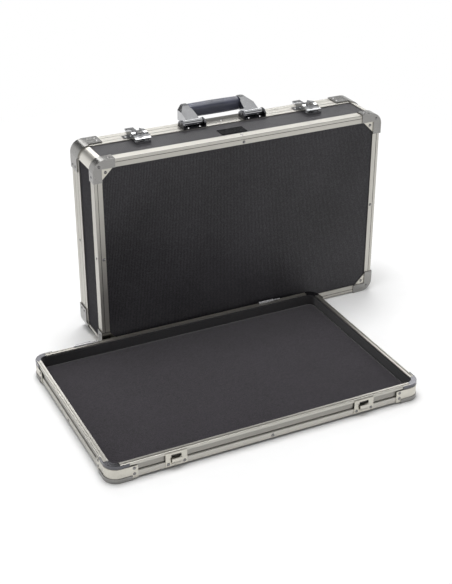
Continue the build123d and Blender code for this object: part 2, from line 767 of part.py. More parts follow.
def latch_claw(sign):
    """The claw: a strap from its pin to a turned-down tip that enters the keeper's slot."""
    d, h = latch_axis_d, latch_axis_h
    pin_d, pin_h = d - claw_back, h - claw_below
    near = lid_depth + tray_height - slot_top + slot_play
    far = near + claw_t
    top, half_t = claw_clear + claw_t, claw_t / 2
    under_pin, level_d = pin_h - claw_dip, d + claw_level_d
    strap = [(pin_d, pin_h + half_t), (d, under_pin + half_t), (level_d, top), (far, top),
             (far, claw_clear), (level_d, claw_clear), (d, under_pin - half_t), (pin_d, pin_h - half_t)]
    claw = slab_x(strap, -claw_half, claw_half)
    tip_half = claw_half - claw_tip_in
    claw = claw + block(-tip_half, tip_half, near, far, -claw_bite, claw_clear)
    claw = claw + rod_x(-latch_half, latch_half, pin_d, pin_h, latch_pin_r)
    claw = claw + rod_x(-claw_half, claw_half, pin_d, pin_h, latch_pin_r + claw_hub)
    return latch_frame(sign) * claw


def hardware_rivets():
    """Rivets of the latch tabs and the handle mounts."""
    found = []
    for sign in (-1, 1):
        for step in (-1, 1):
            x = step * (latch_half + tab_w / 2)
            found.append(latch_frame(sign) * Pos(x, latch_axis_d - tab_d / 2, base_t) * rivet())
            mount_x = sign * handle_mount_x + step * mount_half / 2
            found.append(latch_side * Pos(mount_x, handle_axis_d - mount_rivet_d, mount_t) * rivet())
    return found


# ---- Handle, in the latch side's frame ---------------------------------------------------------------

def handle_mount(sign):
    """A channel with two cheeks that carries one end of the handle."""
    x, d = sign * handle_mount_x, handle_axis_d
    front, back = d - mount_len / 2, d + mount_len / 2
    cheek = [(front, 0), (back, 0), (back, handle_axis_h), (d + cheek_top, cheek_h),
             (d - cheek_top, cheek_h), (front, handle_axis_h)]
    mount = block(x - mount_half, x + mount_half, front, back, 0, mount_t)
    for x0 in (x - mount_half, x + mount_half - cheek_t):
        mount = mount + slab_x(cheek, x0, x0 + cheek_t)
    mount = mount - rod_x(x - mount_half, x + mount_half, d, handle_axis_h, handle_pin_r)
    return latch_side * mount


def handle_pins():
    """The handle's pins, fixed in the mounts' cheeks."""
    found = []
    for sign in (-1, 1):
        x = sign * handle_mount_x
        found.append(latch_side * rod_x(x - mount_half, x + mount_half, handle_axis_d, handle_axis_h,
                                        handle_pin_r))
    return found


def handle_arm(sign):
    """A bevelled chrome end: a knuckle on the pin, and an arm that turns in to hold the grip."""
    d, h = handle_axis_d, handle_axis_h
    gd, gh = d + grip_back, h + grip_up
    low_h = h - arm_knuckle_r
    knuckle_half = mount_half - cheek_t - arm_play
    x = handle_mount_x
    back = gd + grip_r
    inner, near = arm_inner - arm_flare, gd - grip_r
    outline = [(inner, d), (arm_outer, d), (arm_outer, back - arm_bevel_d),
               (arm_outer - arm_bevel, back),
               (grip_half, back), (grip_half, near), (arm_inner, near - arm_flare),
               (inner, d + 2 * arm_knuckle_r)]
    plan = slab_z(outline, low_h - 1, gh + grip_r + 1)
    high = gh + grip_r
    profile = [(d, low_h), (back - arm_edge, low_h), (back, low_h + arm_edge), (back, high - arm_edge),
               (back - arm_edge, high), (gd - arm_edge, high), (d, h + arm_knuckle_r)]
    arm = plan & slab_x(profile, 0, arm_outer + 1)
    across = [(0, low_h), (arm_outer, low_h), (arm_outer, high - arm_top_h), (arm_outer - arm_top_w, high),
              (0, high)]
    arm = arm & slab_y(across, d - arm_knuckle_r, back)
    arm = arm + rod_x(x - knuckle_half, x + knuckle_half, d, h, arm_knuckle_r)
    arm = arm - rod_x(x - mount_half, x + mount_half, d, h, handle_pin_r + handle_pin_play)
    if sign < 0:
        arm = mirror(arm, Plane.YZ)
    return latch_side * arm


def handle_grip():
    """The padded grip between the arms, a bar with well rounded edges."""
    d, h = handle_axis_d + grip_back, handle_axis_h + grip_up
    frame = Plane(origin=(-grip_half, d, h), x_dir=(0, 1, 0), z_dir=(1, 0, 0))
    face = RectangleRounded(2 * grip_r, 2 * grip_r, grip_round)
    return latch_side * extrude(frame * face, 2 * grip_half)


def write(name, pieces):
    """Writes one node's solids to its own file."""
    pieces = pieces if isinstance(pieces, list) else [pieces]
    solids = [s for piece in pieces for s in piece.solids()]
    export_step(solids[0] if len(solids) == 1 else Compound(children=solids), f"parts/{name}.step")


def main():
    os.makedirs("parts", exist_ok=True)
    for side in sides:
        write(f"tray_rail_{side}", tray_rail(side))
        write(f"lid_edge_rail_{side}", lid_edge_rail(side))
        write(f"lid_rim_rail_{side}", lid_rim_rail(side))
        write(f"lid_board_{side}", lid_side_board(side))
    write("tray_base_board", tray_base_board())
    write("tray_carpet", tray_carpet())
    write("tray_liner", tray_ring(wall_in, liner_t))
    write("tray_wall_fabric", tray_ring(wall_in + liner_t, fabric_t))
    write("tray_corner_posts", tray_corner_posts())
    write("tray_corner_plates", tray_corner_plates())
    write("tray_base_corners", tray_base_corners())
    write("tray_rim_corners", tray_rim_corners())
    write("tray_rivets", tray_rivets())
    write("tray_keeper_rivets", keeper_rivets())
    write("tray_hinge_leaves", tray_hinge_leaves())
    write("tray_hinge_pins", tray_hinge_pins())
    write("tray_hinge_rivets", tray_hinge_rivets())
    write("lid_panel", lid_panel())
    write("lid_corner_posts", lid_corner_posts())
    write("lid_wall_fabric", lid_wall_lining())
    write("lid_foam", lid_foam())
    write("lid_edge_corners", lid_edge_corners())
    write("lid_gussets", lid_gussets())
    write("lid_rim_corners", lid_rim_corners())
    write("lid_face_rivets", lid_face_rivets())
    write("lid_side_rivets", lid_side_rivets())
    write("lid_hinge_leaves", lid_hinge_leaves())
    write("lid_name_plate", name_plate())
    write("latch_pins", latch_pins())
    write("latch_rivets", hardware_rivets())
    write("handle_pins", handle_pins())
    write("handle_grip", handle_grip())
    for sign, hand in ((-1, "left"), (1, "right")):
        write(f"tray_keeper_{hand}", keeper(sign))
        write(f"latch_base_{hand}", latch_base(sign))
        write(f"latch_lever_{hand}", latch_lever(sign))
        write(f"latch_claw_{hand}", latch_claw(sign))
        write(f"latch_key_{hand}", latch_key(sign))
        write(f"handle_mount_{hand}", handle_mount(sign))
        write(f"handle_arm_{hand}", handle_arm(sign))


main()
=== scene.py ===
"""The looks of the guitar pedal case: finishes, linings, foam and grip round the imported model.

Everything is in metres in the model's own frame: +Z up, the tray in front, the lid behind it.
"""
import math

import bmesh
import bpy
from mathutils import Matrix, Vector, noise


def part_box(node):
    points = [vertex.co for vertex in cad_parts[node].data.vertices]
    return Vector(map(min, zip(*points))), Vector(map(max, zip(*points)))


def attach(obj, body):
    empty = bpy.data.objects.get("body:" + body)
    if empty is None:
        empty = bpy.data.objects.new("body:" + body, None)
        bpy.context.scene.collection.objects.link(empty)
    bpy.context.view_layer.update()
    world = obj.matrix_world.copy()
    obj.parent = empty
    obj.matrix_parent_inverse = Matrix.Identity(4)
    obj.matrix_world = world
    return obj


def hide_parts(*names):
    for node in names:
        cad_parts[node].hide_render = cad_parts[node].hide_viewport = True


# Camera, fitted to the photograph's view
camera_place = (-0.812, -1.6195, 1.0961)
camera_yaw = 25.876              # degrees to the right of +Y
camera_pitch = 28.117            # degrees down
focal_px = 1200.0
frame_long_px = 584.0
sensor = 36.0
clip_end = 50.0

# Aluminium: its colour, how rough the rails and posts are, and how much paler the posts are
aluminium = (0.52, 0.505, 0.465)
rail_rough = 0.40
post_rough = 0.34
post_lift = 1.35

# Plated steels: colour and roughness
plating = {
    "chrome": ((0.50, 0.505, 0.515), 0.10),
    "gunmetal": ((0.13, 0.13, 0.14), 0.20),
    "nickel": ((0.30, 0.295, 0.285), 0.22),
    "pale_plate": ((0.60, 0.58, 0.52), 0.30),
    "steel": ((0.46, 0.46, 0.47), 0.28),
    "rivet": ((0.24, 0.235, 0.235), 0.24),
}

# Base colours of the rest
laminate = (0.022, 0.0210, 0.0235)
carpet = (0.019, 0.0160, 0.0205)
lining = (0.018, 0.017, 0.019)
foam = (0.050, 0.050, 0.056)
vinyl = (0.030, 0.034, 0.060)
wood = (0.10, 0.08, 0.065)
blank_dark = (0.003, 0.003, 0.004)
blank_pale = (0.009, 0.009, 0.010)

# Laminate
rib_pitch = 0.0028
laminate_gloss = 0.25            # of the boards whose ribs run up and down
laminate_side_gloss = 0.01       # and of the side boards, where the photograph shows none

# Edge rounding on hard pieces
edge_round = 0.0003
thin_round = 0.00015
plate_round = 0.0004
arm_round = 0.0009
round_segments = 2
arm_segments = 3
round_angle = math.radians(32)

# Where shade is painted on the aluminium: recesses, as heights on the tray and depths below the
# lid's outer faces, and a painted shadow along the tray's bottom edge, up to a height
tray_groove = (0.0146, 0.0159)
tray_channel = (0.0160, 0.0254)
tray_painted_shadow_top = 0.0036
groove_floor = (0.00020, 0.00090)
band_soft = 0.00008              # half of the width over which a band of painted shade ends

# How bright the painted shade leaves each recess, and the tray's bottom edge, next to the face
# round it
groove_painted_shade = 0.12
channel_painted_shade = 0.60
bottom_painted_shadow = 0.45
edge_line_painted_shade = 0.12
rim_line_painted_shade = 0.18

# Foam
foam_pitch = 0.030
foam_step = 0.0030
foam_valley = 0.40               # lowest part of the foam, as a share of its depth
foam_peak = 1.2                  # above 1, the tops are narrower than the hollows
foam_edge = 0.006                # how far in from its edge the foam thins
foam_edge_share = 0.45           # how much of its waves is left at the edge
foam_crumb = 0.012               # unevenness of the surface, as a share of the depth
foam_crumb_scale = 90

# Carpet
pile = 0.00035
pile_scale, drift_scale = 260, 40
pile_seed, drift_seed = 3, 7
carpet_step = 0.0035
carpet_edge = 0.003              # how far in from its edge the carpet dips
carpet_dip = 0.0006

# Corners of the case, and how much smaller the radius is on what lies inside
corner_r = 0.020
carpet_inset = 0.0083
foam_inset = 0.008
lining_inset = 0.007

# Linings
lining_thick = 0.001
lining_step = 0.006
lining_rows = 6
lining_ruck = 0.00012            # how far the cloth's surface wavers
lining_ruck_scale = 60
lining_slack = 0.00002
corner_steps = 10

# Grip
grip_crown = 0.05                # how much the grip swells at its middle, as a share of its radius
grip_power = 2.9                 # section between a circle, 2, and a square
grip_rings = 48
grip_sides = 64
pinch_depth = 0.10               # how much each end narrows, as a share of the radius
pinch_from = 0.93                # where that starts, as a share of the half length
seam_angle = 1.5 * math.pi       # underneath
seam_width = 0.05                # in radians
seam_depth = 0.0006
seam_stitches = 60
grip_wear = 0.00010

# Light. Each soft box: azimuth to the right of +Y, elevation, distance, size, power
lamp_aim = (0.0, 0.0, 0.15)
lamps = {
    "above": (0, 88, 3.2, (4.2, 4.2), 34.0),
    "key": (0, 84, 2.9, (1.6, 1.6), 60.0),
    "behind": (24, 36, 3.4, (3.2, 0.6), 30.0),
    "front_left": (235, 42, 3.4, (1.8, 1.8), 9.0),
}
world_above = 0.16               # the studio's level overhead
world_round = 1.0                # and round the horizon
world_fall = (0.18, 0.38)        # sines of the elevations between which it falls

# Floor
floor_half = 6.0
floor_drop = 0.0002              # how far it lies under the object
floor_tones = (0.945, 0.955)
floor_fade = (0.62, 1.35)        # distances between which it turns into the white background


class Graph:
    """A material's nodes, with short calls for what the finishes share."""

    def __init__(self, name):
        self.mat = bpy.data.materials.new(name)
        self.mat.use_nodes = True
        self.nodes = self.mat.node_tree.nodes
        self.links = self.mat.node_tree.links
        self.bsdf = self.nodes["Principled BSDF"]
        self.coords = self.nodes.new("ShaderNodeTexCoord")

    def set(self, **values):
        for key, value in values.items():
            self.bsdf.inputs[key.replace("_", " ")].default_value = value

    def place(self, stretch):
        """Object coordinates, stretched."""
        mapping = self.nodes.new("ShaderNodeMapping")
        mapping.inputs["Scale"].default_value = stretch
        self.links.new(self.coords.outputs["Object"], mapping.inputs["Vector"])
        return mapping.outputs["Vector"]

    def noise(self, scale, detail=3.0, stretch=(1, 1, 1), rough=0.55):
        node = self.nodes.new("ShaderNodeTexNoise")
        node.inputs["Scale"].default_value = scale
        node.inputs["Detail"].default_value = detail
        node.inputs["Roughness"].default_value = rough
        self.links.new(self.place(stretch), node.inputs["Vector"])
        return node.outputs["Fac"]

    def cells(self, scale, stretch=(1, 1, 1)):
        node = self.nodes.new("ShaderNodeTexVoronoi")
        node.inputs["Scale"].default_value = scale
        self.links.new(self.place(stretch), node.inputs["Vector"])
        return node.outputs["Distance"]

    def ribs(self, pitch, axis):
        """Bands across an axis."""
        node = self.nodes.new("ShaderNodeTexWave")
        node.bands_direction = axis
        node.inputs["Scale"].default_value = math.pi / (10 * pitch)
        node.inputs["Distortion"].default_value = 0.0
        self.links.new(self.coords.outputs["Object"], node.inputs["Vector"])
        return node.outputs["Fac"]

    def spread(self, source, low, high, start=0.3, end=0.7):
        """Maps a texture from start..end to low..high."""
        node = self.nodes.new("ShaderNodeMapRange")
        node.inputs["From Min"].default_value = start
        node.inputs["From Max"].default_value = end
        node.inputs["To Min"].default_value = low
        node.inputs["To Max"].default_value = high
        self.links.new(source, node.inputs["Value"])
        return node.outputs["Result"]

    def blend(self, source, dark, light):
        """A colour between dark and light."""
        node = self.nodes.new("ShaderNodeMix")
        node.data_type = "RGBA"
        node.inputs["A"].default_value = (*dark, 1)
        node.inputs["B"].default_value = (*light, 1)
        self.links.new(source, node.inputs["Factor"])
        return node.outputs["Result"]

    def math(self, operation, a, b):
        node = self.nodes.new("ShaderNodeMath")
        node.operation = operation
        self.links.new(a, node.inputs[0])
        self.links.new(b, node.inputs[1])
        return node.outputs["Value"]

    def band(self, axis, low, high, soft=band_soft):
        """1 where the coordinate is between low and high, in metres, and 0 elsewhere."""
        parts = self.nodes.new("ShaderNodeSeparateXYZ")
        self.links.new(self.coords.outputs["Object"], parts.inputs["Vector"])
        rise = self.spread(parts.outputs[axis], 0, 1, low - soft, low + soft)
        fall = self.spread(parts.outputs[axis], 1, 0, high - soft, high + soft)
        return self.math("MULTIPLY", rise, fall)

    def darken(self, colour, mask, by):
        """The colour, darkened where the mask is 1."""
        node = self.nodes.new("ShaderNodeMix")
        node.data_type = "RGBA"
        node.blend_type = "MULTIPLY"
        node.inputs["B"].default_value = (by, by, by, 1)
        self.links.new(mask, node.inputs["Factor"])
        self.links.new(colour, node.inputs["A"])
        return node.outputs["Result"]

    def add(self, a, b, share=0.5):
        node = self.nodes.new("ShaderNodeMix")
        node.data_type = "FLOAT"
        node.inputs["Factor"].default_value = share
        self.links.new(a, node.inputs["A"])
        self.links.new(b, node.inputs["B"])
        return node.outputs["Result"]

    def bump(self, height, strength, distance):
        node = self.nodes.new("ShaderNodeBump")
        node.inputs["Strength"].default_value = strength
        node.inputs["Distance"].default_value = distance
        self.links.new(height, node.inputs["Height"])
        self.links.new(node.outputs["Normal"], self.bsdf.inputs["Normal"])

    def wire(self, output, socket):
        self.links.new(output, self.bsdf.inputs[socket])


def shade(colour, by):
    """The colour, brighter or darker."""
    return tuple(c * by for c in colour)


def brushed(name, colour, rough, along, shaded_recesses=()):
    """Satin aluminium with grain along an axis, and painted shade in its recesses. Each recess is
    (axis, low, high, tone), tone being how bright the painted shade leaves it.
    """
    g = Graph(name)
    g.set(Metallic=1.0)
    stretch = tuple(0.012 if axis == along else 1.0 for axis in "XYZ")
    grain = g.noise(scale=2600, detail=4, stretch=stretch)
    stain = g.noise(scale=14, detail=3)
    mixed = g.add(grain, stain, share=0.35)
    tone = g.blend(g.spread(mixed, 0, 1), shade(colour, 0.92), shade(colour, 1.05))
    # painted shade in each recess
    for axis, low, high, painted_shade in shaded_recesses:
        tone = g.darken(tone, g.band(axis, low, high), painted_shade)
    g.wire(tone, "Base Color")
    g.wire(g.spread(mixed, rough - 0.05, rough + 0.07), "Roughness")
    g.bump(grain, strength=0.08, distance=0.00004)
    return g.mat


def plated(name, colour, rough):
    """Plated steel with faint smears and fine scratches."""
    g = Graph(name)
    g.set(Metallic=1.0)
    smear = g.noise(scale=45, detail=4)
    scratch = g.noise(scale=1800, detail=2, stretch=(1, 0.05, 0.05))
    mixed = g.add(smear, scratch, share=0.35)
    tone = g.blend(g.spread(mixed, 0, 1), shade(colour, 0.86), shade(colour, 1.04))
    g.wire(tone, "Base Color")
    g.wire(g.spread(mixed, max(0.03, rough - 0.05), rough + 0.09), "Roughness")
    g.bump(smear, strength=0.05, distance=0.00006)
    return g.mat


def laminate_finish(name, rib_axis, gloss=laminate_gloss):
    """Black embossed laminate: ribs crossed with a pebbled grain, whose raised tops are painted
    paler, a painted highlight.
    """
    g = Graph(name)
    g.set(Specular_IOR_Level=gloss)
    pebble = g.cells(scale=430)
    ribs = g.ribs(rib_pitch, rib_axis)
    cloud = g.noise(scale=5, detail=3)
    relief = g.add(pebble, ribs, share=0.45)
    # painted highlight on the raised tops of the ribs and pebbles
    painted_highlight_tops = g.spread(relief, 0, 1, start=0.15, end=0.75)
    tone = g.add(g.spread(cloud, 0, 1), painted_highlight_tops, share=0.65)
    g.wire(g.blend(tone, shade(laminate, 0.15), shade(laminate, 2.6)), "Base Color")
    g.wire(g.spread(cloud, 0.36, 0.48), "Roughness")
    g.bump(relief, strength=0.8, distance=0.00045)
    return g.mat


def cloth_finish(name, colour, scale, depth, sheen, clump=0.0):
    """Short fibres or a close weave, mottled at the same scale, with tufts of pile for a clump."""
    g = Graph(name)
    g.set(Roughness=0.95, Specular_IOR_Level=0.15, Sheen_Weight=sheen, Sheen_Roughness=0.55)
    fibre = g.noise(scale, detail=5, rough=0.7)
    patch = g.noise(scale=9, detail=3)
    tone = g.add(g.spread(fibre, 0, 1), g.spread(patch, 0, 1), share=0.30)
    if clump:
        tufts = g.noise(scale * 0.28, detail=4, rough=0.75)
        tone = g.add(tone, g.spread(tufts, 0, 1, start=0.38, end=0.62), share=clump)
    g.wire(g.blend(tone, shade(colour, 0.25), shade(colour, 2.2)), "Base Color")
    g.bump(fibre, strength=0.7, distance=depth)
    return g.mat


def foam_finish(name):
    """Open-cell foam, with painted shade in its small pores."""
    g = Graph(name)
    g.set(Roughness=0.97, Specular_IOR_Level=0.1, Sheen_Weight=0.25)
    pores_and_painted_shade = g.cells(scale=900)
    patch = g.noise(scale=12, detail=3)
    # painted shade: the pores are darker
    tone = g.add(g.spread(pores_and_painted_shade, 0, 1, start=0.1, end=0.6), g.spread(patch, 0, 1), share=0.3)
    g.wire(g.blend(tone, shade(foam, 0.45), shade(foam, 1.5)), "Base Color")
    g.bump(pores_and_painted_shade, strength=0.6, distance=0.0006)
    return g.mat


def vinyl_finish(name):
    """Soft grained vinyl with a low gloss."""
    g = Graph(name)
    g.set(Specular_IOR_Level=0.9)
    grain = g.cells(scale=850, stretch=(1, 1, 0.8))
    wear = g.noise(scale=30, detail=4)
    g.wire(g.blend(g.spread(wear, 0, 1), shade(vinyl, 0.75), shade(vinyl, 1.6)), "Base Color")
    g.wire(g.spread(wear, 0.40, 0.52), "Roughness")
    g.bump(grain, strength=0.25, distance=0.00012)
    return g.mat


def board_finish(name):
    """Plain dark hardboard."""
    g = Graph(name)
    g.set(Roughness=0.75)
    fibre = g.noise(scale=500, detail=5, stretch=(0.2, 0.2, 1))
    g.wire(g.blend(g.spread(fibre, 0, 1), shade(wood, 0.6), shade(wood, 1.3)), "Base Color")
    g.bump(fibre, strength=0.3, distance=0.0001)
    return g.mat


def blank_finish(name):
    """A blank black plate with a low gloss and faint dust."""
    g = Graph(name)
    g.set(Specular_IOR_Level=0.04)
    dust = g.noise(scale=300, detail=3)
    g.wire(g.blend(g.spread(dust, 0, 1), blank_dark, blank_pale), "Base Color")
    g.wire(g.spread(dust, 0.20, 0.30), "Roughness")
    return g.mat


def dress(obj, mat, width=edge_round, segments=round_segments):
    """Gives a piece its finish, and rounds its hard edges by a hair."""
    obj.data.materials.clear()
    obj.data.materials.append(mat)
    if width:
        bevel = obj.modifiers.new("edges", "BEVEL")
        bevel.width = width
        bevel.segments = segments
        bevel.limit_method = "ANGLE"
        bevel.angle_limit = round_angle
        bevel.use_clamp_overlap = True
        bevel.harden_normals = False


def outer_face(name, axis, sign):
    """Where a piece's outer face lies along an axis, in metres."""
    low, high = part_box(name)
    return high["XYZ".index(axis)] if sign > 0 else low["XYZ".index(axis)]


def dress_rails(nodes):
    """The aluminium sections, with painted shade in their grooves and recessed channels and a
    painted shadow along the tray's bottom edge, all darker than their faces.
    """
    outward = {"front": ("Z", 1), "back": ("Z", -1), "left": ("X", -1), "right": ("X", 1)}
    panel_face = outer_face("lid_edge_rail_front", "Y", -1)
    # painted shade in the grooves and channels, and a painted shadow along the tray's bottom edge
    edge_line_shade = [("Y", *(panel_face + depth for depth in groove_floor), edge_line_painted_shade)]
    channel_shade = [("Z", *tray_groove, groove_painted_shade), ("Z", *tray_channel, channel_painted_shade),
               ("Z", 0.0, tray_painted_shadow_top, bottom_painted_shadow)]
    for side, (axis, sign) in outward.items():
        tray_along, lid_along = ("X", "X") if side in ("front", "back") else ("Y", "Z")
        face = outer_face(f"lid_rim_rail_{side}", axis, sign)
        sunk = sorted(face - sign * depth for depth in groove_floor)
        rim_line_shade = [(axis, *sunk, rim_line_painted_shade)]
        for node, name, along, shaded_recesses in (
                (f"tray_rail_{side}", f"tray_rail_{side}", tray_along, channel_shade),
                (f"lid_edge_rail_{side}", f"edge_rail_{side}", lid_along, edge_line_shade),
                (f"lid_rim_rail_{side}", f"rim_rail_{side}", lid_along, rim_line_shade)):
            dress(nodes[node], brushed(name, aluminium, rail_rough, along, shaded_recesses))


def dress_frame(frame):
    """The finish of every CAD piece that stays visible."""
    nodes = frame["nodes"]
    post = {axis: brushed(f"post_{axis.lower()}", shade(aluminium, post_lift), post_rough, axis)
            for axis in "YZ"}
    metal = {name: plated(name, *look) for name, look in plating.items()}
    upright = laminate_finish("laminate_upright", "X")
    sideways = laminate_finish("laminate_side", "Z", laminate_side_gloss)
    board = board_finish("hardboard")
    plate = blank_finish("blank_plate")
    dress_rails(nodes)
    for side in ("front", "back", "left", "right"):
        dress(nodes[f"lid_board_{side}"], upright if side in ("front", "back") else sideways, 0)
    dress(nodes["lid_panel"], upright, 0)
    dress(nodes["tray_base_board"], upright, 0)
    dress(nodes["tray_liner"], board, 0)
    dress(nodes["lid_corner_posts"], post["Y"])
    dress(nodes["tray_corner_posts"], post["Z"])
    dress(nodes["lid_name_plate"], plate, plate_round)
    for name in ("tray_corner_plates", "lid_gussets", "tray_keeper_left", "tray_keeper_right"):
        dress(nodes[name], metal["pale_plate"])
    for name in ("tray_rim_corners", "handle_mount_left", "handle_mount_right"):
        dress(nodes[name], metal["gunmetal"])
    for name in ("lid_edge_corners", "tray_base_corners", "lid_rim_corners"):
        dress(nodes[name], metal["nickel"])
    for hand in ("left", "right"):
        dress(nodes[f"handle_arm_{hand}"], metal["chrome"], arm_round, arm_segments)
        for part in ("base", "lever", "claw"):
            dress(nodes[f"latch_{part}_{hand}"], metal["chrome"], thin_round)
        dress(nodes[f"latch_key_{hand}"], metal["nickel"], thin_round)
    for name in ("tray_hinge_leaves", "tray_hinge_pins", "lid_hinge_leaves", "handle_pins",
                 "latch_pins"):
        dress(nodes[name], metal["steel"], thin_round)
    for name in ("tray_rivets", "tray_keeper_rivets", "tray_hinge_rivets", "lid_face_rivets",
                 "lid_side_rivets", "latch_rivets"):
        dress(nodes[name], metal["rivet"], 0)


def new_piece(name, mesh_bm, mat, body, slot, *stands_for):
    """A smooth piece made here, which rides a body and stands for CAD nodes."""
    mesh = bpy.data.meshes.new(name)
    bmesh.ops.recalc_face_normals(mesh_bm, faces=mesh_bm.faces)
    mesh_bm.to_mesh(mesh)
    mesh_bm.free()
    mesh.materials.append(mat)
    for face in mesh.polygons:
        face.use_smooth = True
    obj = bpy.data.objects.new(name, mesh)
    bpy.context.scene.collection.objects.link(obj)
    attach(obj, body)
    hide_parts(*stands_for)
    return obj


def round_pull(a, b, half_a, half_b, radius):
    """Moves a point of a square grid on to a rounded rectangle: only points in a corner move."""
    over_a, over_b = abs(a) - (half_a - radius), abs(b) - (half_b - radius)
    if over_a <= 0 or over_b <= 0:
        return a, b
    reach = math.hypot(over_a, over_b)
    scale = max(over_a, over_b) / reach
    return (math.copysign(half_a - radius + over_a * scale, a),
            math.copysign(half_b - radius + over_b * scale, b))


def slab_grid(half_a, half_b, step, radius, height, place):
    """A closed slab: a flat back, and a front whose height is a function of where it is."""
    bm = bmesh.new()
    na, nb = max(2, round(2 * half_a / step)), max(2, round(2 * half_b / step))

    def spot(i, j):
        a, b = -half_a + 2 * half_a * i / na, -half_b + 2 * half_b * j / nb
        return round_pull(a, b, half_a, half_b, radius)

    def index(i, j):
        return i * (nb + 1) + j

    top = []
    for i in range(na + 1):
        for j in range(nb + 1):
            a, b = spot(i, j)
            top.append(bm.verts.new(place(a, b, height(a, b))))
    for i in range(na):
        for j in range(nb):
            around = (index(i, j), index(i + 1, j), index(i + 1, j + 1), index(i, j + 1))
            bm.faces.new([top[k] for k in around])
    rim = [index(i, 0) for i in range(na + 1)]
    rim += [index(na, j) for j in range(1, nb + 1)]
    rim += [index(i, nb) for i in range(na - 1, -1, -1)]
    rim += [index(0, j) for j in range(nb - 1, 0, -1)]
    low = [bm.verts.new(place(*spot(*divmod(k, nb + 1)), 0.0)) for k in rim]
    for k in range(len(rim)):
        n = (k + 1) % len(rim)
        bm.faces.new([top[rim[k]], top[rim[n]], low[n], low[k]])
    bm.faces.new(low)
    return bm


def make_foam():
    """Egg-crate foam on the inside of the lid's panel."""
    low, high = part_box("lid_foam")
    middle, size = (low + high) / 2, high - low
    half_x, half_z, depth = size.x / 2, size.z / 2, size.y
    count_x, count_z = round(2 * half_x / foam_pitch), round(2 * half_z / foam_pitch)

    def height(a, b):
        wave_a = math.cos(math.pi * 2 * count_x * (a / (2 * half_x)))
        wave_b = math.cos(math.pi * 2 * count_z * (b / (2 * half_z)))
        swell = 0.5 + 0.25 * (wave_a + wave_b)
        edge = max(0.0, min(1.0, min(half_x - abs(a), half_z - abs(b)) / foam_edge))
        swell = swell ** foam_peak * (foam_edge_share + (1 - foam_edge_share) * edge)
        rise = foam_valley + (1 - foam_valley) * swell
        crumb = noise.noise(Vector((a * foam_crumb_scale, b * foam_crumb_scale, 0)))
        return depth * (rise - foam_crumb * (0.5 + 0.5 * crumb))

    def place(a, b, h):
        return (middle.x + a, low.y + h, middle.z + b)

    bm = slab_grid(half_x, half_z, foam_step, corner_r - foam_inset, height, place)
    obj = new_piece("egg_crate_foam", bm, foam_finish("foam"), "lid", "grey_foam", "lid_foam")


def make_carpet():
    """The carpet on the tray's floor, with a short uneven pile."""
    low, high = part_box("tray_carpet")
    middle, size = (low + high) / 2, high - low

    def height(a, b):
        edge = max(0.0, min(1.0, min(size.x / 2 - abs(a), size.y / 2 - abs(b)) / carpet_edge))
        tufts = noise.noise(Vector((a * pile_scale, b * pile_scale, pile_seed)))
        drift = noise.noise(Vector((a * drift_scale, b * drift_scale, drift_seed)))
        return size.z - pile * (0.8 - 0.5 * (tufts + 0.5 * drift)) - carpet_dip * (1 - edge)

    def place(a, b, h):
        return (middle.x + a, middle.y + b, low.z + h)

    bm = slab_grid(size.x / 2, size.y / 2, carpet_step, corner_r - carpet_inset, height, place)
    mat = cloth_finish("carpet", carpet, scale=1400, depth=0.0005, sheen=0.3, clump=0.6)
    obj = new_piece("floor_carpet", bm, mat, "tray", "black_carpet", "tray_carpet")


def ring_path(half_a, half_b, radius, per_corner=corner_steps):
    """Points round a rounded rectangle."""
    points = []
    for sa, sb, start in ((1, 1, 0), (-1, 1, 90), (-1, -1, 180), (1, -1, 270)):
        for k in range(per_corner + 1):
            t = math.radians(start + 90 * k / per_corner)
            points.append((sa * (half_a - radius) + radius * math.cos(t),
                           sb * (half_b - radius) + radius * math.sin(t)))
    return points


def dense(points, step):
    """The closed line through the points, with long stretches divided."""
    out = []
    for k, (a, b) in enumerate(points):
        c, d = points[(k + 1) % len(points)]
        parts = max(1, round(math.hypot(c - a, d - b) / step))
        out += [(a + (c - a) * i / parts, b + (d - b) * i / parts) for i in range(parts)]
    return out


def make_lining(name, node, body, across, mat):
    """Cloth glued round the inside of a wall. across is the axis that the wall stands along."""
    low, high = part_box(node)
    middle, size = (low + high) / 2, high - low
    a_axis, b_axis = (0, 1) if across == 2 else (0, 2)
    half_a, half_b, tall = size[a_axis] / 2, size[b_axis] / 2, size[across]
    outer_r = corner_r - lining_inset
    inner_r = outer_r - lining_thick
    outer = dense(ring_path(half_a, half_b, outer_r), lining_step)
    bm = bmesh.new()

    def point(a, b, h):
        p = [0.0, 0.0, 0.0]
        p[a_axis], p[b_axis] = middle[a_axis] + a, middle[b_axis] + b
        p[across] = low[across] + h
        return p

    def toward_middle(a, b, by):
        ca = math.copysign(max(0.0, half_a - inner_r - lining_thick), a)
        cb = math.copysign(max(0.0, half_b - inner_r - lining_thick), b)
        da, db = a - ca, b - cb
        if abs(a) < abs(ca):
            da = 0.0
        if abs(b) < abs(cb):
            db = 0.0
        reach = math.hypot(da, db) or 1.0
        return a - by * da / reach, b - by * db / reach

    skins = []
    for r in range(lining_rows + 1):
        h = tall * r / lining_rows
        back, face = [], []
        for a, b in outer:
            back.append(bm.verts.new(point(a, b, h)))
            spot = Vector([v * lining_ruck_scale for v in (a, b, h)])
            ruck = lining_ruck * noise.noise(spot)
            fa, fb = toward_middle(a, b, lining_thick - abs(ruck) - lining_slack)
            face.append(bm.verts.new(point(fa, fb, h)))
        skins.append((back, face))
    count = len(outer)
    for r in range(lining_rows):
        for k in range(count):
            n = (k + 1) % count
            for skin in (0, 1):
                a, b = skins[r][skin], skins[r + 1][skin]
                bm.faces.new([a[k], a[n], b[n], b[k]])
    for r in (0, lining_rows):
        back, face = skins[r]
        for k in range(count):
            n = (k + 1) % count
            bm.faces.new([back[k], back[n], face[n], face[k]])
    obj = new_piece(name, bm, mat, body, "black_lining", node)


